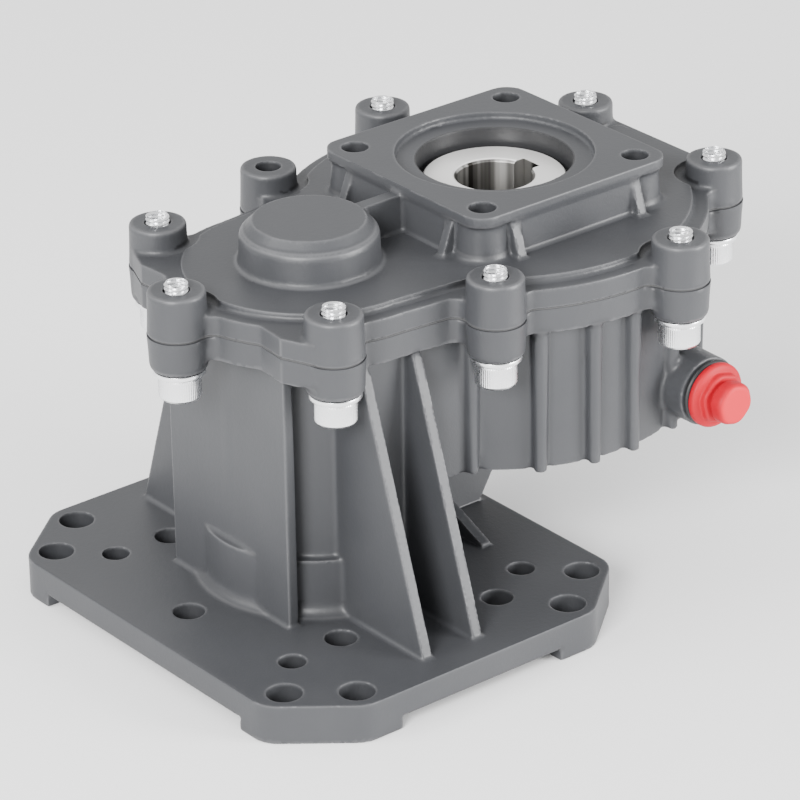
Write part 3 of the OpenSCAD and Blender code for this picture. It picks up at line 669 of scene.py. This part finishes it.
# %% [markdown]
# ## Turned pieces that stay as CAD
# The shafts, gears, seals and bearings have the right shape already. Where an edge shows, their
# loose triangles are welded and the edge broken by live modifiers, which leave the CAD mesh alone.

# %% Break the edges of the turned pieces
BROKEN_EDGE_MM = {"cover_washers": 0.25, "output_shaft": 0.3, "output_seal": 0.2, "input_seal": 0.2,
                  "input_shaft": 0.15, "output_gear": 0.15}
BROKEN_FROM = math.radians(38)


def break_edges(node, width):
    piece = frame["nodes"][node]
    weld = piece.modifiers.new("weld", "WELD")
    weld.merge_threshold = WELD
    bevel = piece.modifiers.new("broken edge", "BEVEL")
    bevel.width = width * MM
    bevel.segments = 2
    bevel.limit_method = "ANGLE"
    bevel.angle_limit = BROKEN_FROM
    bevel.harden_normals = False


for node, width in BROKEN_EDGE_MM.items():
    break_edges(node, width)
print("edges broken on", ", ".join(BROKEN_EDGE_MM))


# %% [markdown]
# ## A small kit for materials
# A value in a node tree is wrapped, so that sums and products of values read as plain expressions.
# Every other node comes from one method that takes its type, its settings and its sockets.

# %% Wrap a socket, so that maths on it adds nodes
class Value:
    def __init__(self, finish, socket):
        self.finish = finish
        self.socket = socket

    def maths(self, how, *others):
        sockets = dict(enumerate((self, *others)))
        return self.finish.node("ShaderNodeMath", {"operation": how}, sockets)

    def __add__(self, other):
        return self.maths("ADD", other)

    def __mul__(self, other):
        return self.maths("MULTIPLY", other)

    def __sub__(self, other):
        return self.maths("SUBTRACT", other)

    def __rsub__(self, other):
        return self * -1 + other

    __radd__ = __add__
    __rmul__ = __mul__


# %% Build the nodes of a finish
class Finish:
    def __init__(self, name):
        self.material = bpy.data.materials.new(name)
        self.material.use_nodes = True
        self.tree = self.material.node_tree
        self.tree.nodes.clear()
        self.shader = self.tree.nodes.new("ShaderNodeBsdfPrincipled")
        output = self.tree.nodes.new("ShaderNodeOutputMaterial")
        self.tree.links.new(self.shader.outputs[0], output.inputs["Surface"])
        self.place = self.node("ShaderNodeTexCoord", {}, {}, "Object")

    def node(self, kind, settings, sockets, out=0):
        made = self.tree.nodes.new(kind)
        stops = settings.pop("stops", None)
        for key, value in settings.items():
            setattr(made, key, value)
        if stops:
            self.set_stops(made.color_ramp, stops)
        for key, value in sockets.items():
            self.set(made.inputs[key], value)
        return Value(self, made.outputs[out])

    def set_stops(self, ramp, stops):
        while len(ramp.elements) < len(stops):
            ramp.elements.new(1)
        for element, (place, level) in zip(ramp.elements, stops):
            element.position = place
            element.color = (level, level, level, 1)

    def set(self, socket, value):
        if isinstance(value, Value):
            self.tree.links.new(value.socket, socket)
        elif hasattr(value, "__len__") and len(socket.default_value) == len(value) + 1:
            socket.default_value = (*value, 1)
        else:
            socket.default_value = value

    def noise(self, scale, detail=3, rough=0.5):
        return self.node("ShaderNodeTexNoise", {}, {
            "Vector": self.place, "Scale": scale, "Detail": detail, "Roughness": rough})

    def lines(self, along, scale=1.0):
        return self.node("ShaderNodeTexNoise", {"noise_dimensions": "1D"}, {
            "W": along, "Scale": scale, "Detail": 2.0})

    def split(self):
        parts = self.node("ShaderNodeSeparateXYZ", {}, {0: self.place}).socket.node
        return [Value(self, part) for part in parts.outputs]

    def ramp(self, value, stops):
        return self.node("ShaderNodeValToRGB", {"stops": stops}, {0: value})

    def mix(self, share, a, b):
        return self.node("ShaderNodeMix", {"data_type": "RGBA"}, {0: share, 6: a, 7: b}, 2)

    def layer(self, name):
        return self.node("ShaderNodeAttribute", {"attribute_name": name}, {}, "Fac")

    def bump(self, height, deep):
        return self.node("ShaderNodeBump", {}, {
            "Height": height, "Distance": deep, "Strength": 1.0})

    def wear(self, **sockets):
        for key, value in sockets.items():
            self.set(self.shader.inputs[key.replace("_", " ")], value)
        return self.material


# %% [markdown]
# ## The paint of the castings
# The castings wear a thin satin paint over a blasted skin, so the grey is even and the grain shows
# only as a fine roughness. The marks that were left on the points make its edges lighter, partly for
# thin paint and partly as a painted highlight, and put painted shade into its corners and holes. The
# seal's seat round the output shaft is a recess with painted shade, so it is darker still.

# %% Finish of the castings
SEAL_SEAT_R = 25 * MM
PAINT_DARK, PAINT_LIGHT = (0.038, 0.0395, 0.0435), (0.047, 0.0485, 0.0525)
# Lighter edges: partly worn thin paint, partly a painted highlight.
WORN_EDGE_AND_HIGHLIGHT = (0.15, 0.15, 0.155)
# Painted shade for inside corners.
CORNER_SHADE = (0.013, 0.013, 0.0145)
# Painted shade for the walls of holes.
HOLE_SHADE = (0.009, 0.009, 0.01)
# Painted shade for the recess of the seal's seat.
SEAL_SEAT_SHADE = (0.012, 0.012, 0.013)


def cast_paint():
    finish = Finish("grey cast paint")
    x, y, height = finish.split()
    x = x - output_axis.x
    # A mask for painted shade inside the seal's seat round the output shaft.
    centred = (x * x + y * y).maths("SQRT").maths("LESS_THAN", SEAL_SEAT_R)
    seat_shade_mask = centred * height.maths("GREATER_THAN", PLATEAU)
    cloud = finish.noise(scale=22, detail=4, rough=0.6)
    grain = finish.noise(scale=1900, detail=2, rough=0.6)
    pits = finish.noise(scale=620, detail=3, rough=0.55)
    tone = finish.mix(finish.ramp(cloud, [(0.3, 0.0), (0.7, 1.0)]), PAINT_DARK, PAINT_LIGHT)
    # Edges made lighter, for thin paint and a painted highlight.
    lit = finish.mix(finish.layer("edge") * 0.4, tone, WORN_EDGE_AND_HIGHLIGHT)
    # Painted shade in inside corners.
    corner_shaded = finish.mix(finish.layer("crevice") * 0.4, lit, CORNER_SHADE)
    # Painted shade in holes.
    deep = finish.mix(finish.layer("hole") * 0.75, corner_shaded, HOLE_SHADE)
    # Painted shade inside the seal's seat.
    seat_shaded = finish.mix(seat_shade_mask * 0.8, deep, SEAL_SEAT_SHADE)
    return finish.wear(Base_Color=seat_shaded, Roughness=cloud * 0.1 + 0.4,
                       Normal=finish.bump(grain * 0.6 + pits, 0.05 * MM),
                       Metallic=0.0, Specular_IOR_Level=0.5)


# %% [markdown]
# ## The metals
# The zinc of the screws is bright with a faint cloud, where the bath left it. The shaft is turned,
# so its face carries fine rings and its wall fine lines, drawn by a noise of one dimension along
# the radius and the height. Its bore is darker, with painted shade and a painted reflection of the
# dark inside in upright streaks. The hidden steels and the brass differ in colour and roughness alone.

# %% Finishes of the metal pieces
RINGS_PER_M, TURNS_PER_M = 4200, 3800
RAMPS_PER_M = 40
BORE_WALL = [(0.66, 1.0), (0.68, 0.0)]
BELOW_TOP = [(0.6, 1.0), (0.7, 0.0)]
REFLECTION_STREAKS = [(0.4, 0.0), (0.6, 1.0)]
BORE_DARK, BORE_LIGHT = (0.05, 0.046, 0.042), (0.62, 0.61, 0.59)


def bright_zinc():
    finish = Finish("bright zinc")
    cloud = finish.noise(scale=260, detail=3, rough=0.6)
    colour = finish.mix(cloud, (0.86, 0.87, 0.89), (0.94, 0.945, 0.95))
    return finish.wear(Base_Color=colour, Roughness=cloud * 0.14 + 0.2, Metallic=1.0,
                       Normal=finish.bump(finish.noise(scale=2400, detail=2), 0.01 * MM))


def turned_steel(name, dark, light, rough, axis):
    finish = Finish(name)
    x, y, height = finish.split()
    x, y = x - axis.x, y - axis.y
    radius = (x * x + y * y).maths("SQRT")
    rings = finish.lines(radius * RINGS_PER_M)
    turns = finish.lines(height * TURNS_PER_M)
    cloud = finish.noise(scale=90, detail=3, rough=0.6)
    face = finish.mix(rings * 0.5 + cloud * 0.5, dark, light)
    # The bore gets painted shade and a painted reflection of the dark inside, in upright streaks.
    narrow = finish.ramp(radius * RAMPS_PER_M, BORE_WALL)
    below = finish.ramp((height - shaft_top) * (1 / MM) + 1, BELOW_TOP)
    in_bore = narrow * below
    reflection_streak = finish.lines(y.maths("ARCTAN2", x), scale=2.3)
    painted_bore_reflection = finish.mix(finish.ramp(reflection_streak, REFLECTION_STREAKS), BORE_DARK, BORE_LIGHT)
    colour = finish.mix(in_bore, face, painted_bore_reflection)
    return finish.wear(Base_Color=colour, Roughness=rings * 0.16 + rough,
                       Metallic=in_bore * 0.4 + 0.6,
                       Normal=finish.bump(rings + turns, 0.012 * MM))


def plain_steel(name, dark, light, rough):
    finish = Finish(name)
    cloud = finish.noise(scale=300, detail=4, rough=0.6)
    colour = finish.mix(cloud, dark, light)
    return finish.wear(Base_Color=colour, Roughness=cloud * 0.2 + rough, Metallic=1.0,
                       Normal=finish.bump(finish.noise(scale=1500, detail=2), 0.012 * MM))


# %% [markdown]
# ## Plastic, rubber and fibre
# The coral plastic is coloured right through. Light that scatters inside it makes the end of the
# head paler than the flange, which a ramp along the plug's axis imitates, because the export bakes
# a colour but no scattering. The rubber and the gasket are dark, and rough in their own way.

# %% Finishes of the plug, the rubber and the gasket
PLUG_END = [(0.4, 0.0), (0.9, 0.55)]
CORAL_DARK, CORAL_LIGHT = (0.4, 0.001, 0.012), (0.47, 0.003, 0.017)
CORAL_END = (0.7, 0.02, 0.035)


def red_plastic():
    finish = Finish("coral plastic")
    y = finish.split()[1]
    cloud = finish.noise(scale=120, detail=3, rough=0.6)
    lit = finish.mix(cloud, CORAL_DARK, CORAL_LIGHT)
    face = finish.ramp((plug_low.y - y) * (1 / MM) + 1, PLUG_END)
    colour = finish.mix(face, lit, CORAL_END)
    return finish.wear(Base_Color=colour, Roughness=cloud * 0.12 + 0.45, Specular_IOR_Level=0.22,
                       Normal=finish.bump(finish.noise(scale=900, detail=2), 0.01 * MM))


def black_rubber():
    finish = Finish("black rubber")
    cloud = finish.noise(scale=400, detail=3, rough=0.6)
    colour = finish.mix(cloud, (0.008, 0.008, 0.009), (0.02, 0.02, 0.021))
    return finish.wear(Base_Color=colour, Roughness=cloud * 0.15 + 0.42,
                       Normal=finish.bump(cloud, 0.02 * MM))


def gasket_fibre():
    finish = Finish("gasket fibre")
    fibre = finish.noise(scale=1200, detail=4, rough=0.7)
    colour = finish.mix(fibre, (0.04, 0.04, 0.041), (0.075, 0.075, 0.076))
    return finish.wear(Base_Color=colour, Roughness=fibre * 0.2 + 0.7,
                       Normal=finish.bump(fibre, 0.03 * MM))


# %% [markdown]
# ## Dressing every piece
# A piece's slot in the record says which finish it wears, so no piece is forgotten.

# %% Give every piece its finish
finishes = {
    "casting": cast_paint(),
    "zinc_steel": bright_zinc(),
    "machined_steel": turned_steel("turned shaft steel", (0.9, 0.89, 0.87), (0.98, 0.97, 0.95),
                                   0.26, output_axis),
    "bearing_steel": plain_steel("bearing steel", (0.55, 0.56, 0.58), (0.68, 0.69, 0.7), 0.12),
    "steel": plain_steel("gear steel", (0.35, 0.35, 0.36), (0.5, 0.5, 0.51), 0.25),
    "dark_steel": plain_steel("phosphated steel", (0.05, 0.05, 0.052), (0.1, 0.1, 0.102), 0.4),
    "brass_cage": plain_steel("cage brass", (0.55, 0.4, 0.16), (0.68, 0.5, 0.22), 0.25),
    "red_plastic": red_plastic(),
    "black_rubber": black_rubber(),
    "gasket": gasket_fibre(),
}
slot_of = {entry["node"]: entry["material_slot"] for entry in frame["record"]["subparts"]}


def dress(piece, material):
    piece.data.materials.clear()
    piece.data.materials.append(material)


for node, piece in frame["nodes"].items():
    dress(piece, finishes[slot_of[node]])
for piece in (housing, cover):
    dress(piece, finishes["casting"])
for piece in screws:
    dress(piece, finishes["zinc_steel"])
dress(plug, finishes["red_plastic"])
dress(ring, finishes["black_rubber"])
print("dressed", len(frame["nodes"]), "nodes and", len(screws) + 4, "modelled pieces")


# %% [markdown]
# ## Studio
# The photograph is lit softly from the left and filled from the right, on a white ground. Large
# area lights stand in for soft boxes, a bright world fills the rest, and the floor is a pale sheet
# just under the foot's pads.

# %% Lay the floor
FLOOR_SIDE = 12
FLOOR_LEVEL = -0.2 * MM
bpy.ops.mesh.primitive_plane_add(size=FLOOR_SIDE, location=(0, 0, FLOOR_LEVEL))
floor = bpy.context.object
floor.name = "studio_floor"
paper = Finish("white paper")
dress(floor, paper.wear(Base_Color=(0.95, 0.95, 0.95), Roughness=0.9))
print("floor of", FLOOR_SIDE, "m")

# %% Hang the lights
LAMP_TARGET = Vector((0.03, 0, 0.07))
WORLD_STRENGTH = 1.2


def soft_box(name, place, size, watts):
    data = bpy.data.lights.new(name, "AREA")
    data.shape = "SQUARE"
    data.size = size
    data.energy = watts
    lamp = bpy.data.objects.new(name, data)
    bpy.context.scene.collection.objects.link(lamp)
    facing = (LAMP_TARGET - Vector(place)).to_track_quat("-Z", "Y").to_matrix().to_4x4()
    lamp.matrix_world = Matrix.Translation(place) @ facing


soft_box("key", (-1.45, -0.85, 0.95), 0.7, 60)
soft_box("upper_left", (-1.2, 0.5, 1.1), 0.7, 14)
soft_box("right_fill", (1.1, -1.6, 0.45), 0.8, 64)
world = bpy.data.worlds.new("studio")
bpy.context.scene.world = world
world.use_nodes = True
background = world.node_tree.nodes["Background"]
background.inputs["Color"].default_value = (1, 1, 1, 1)
background.inputs["Strength"].default_value = WORLD_STRENGTH
print("studio is lit")
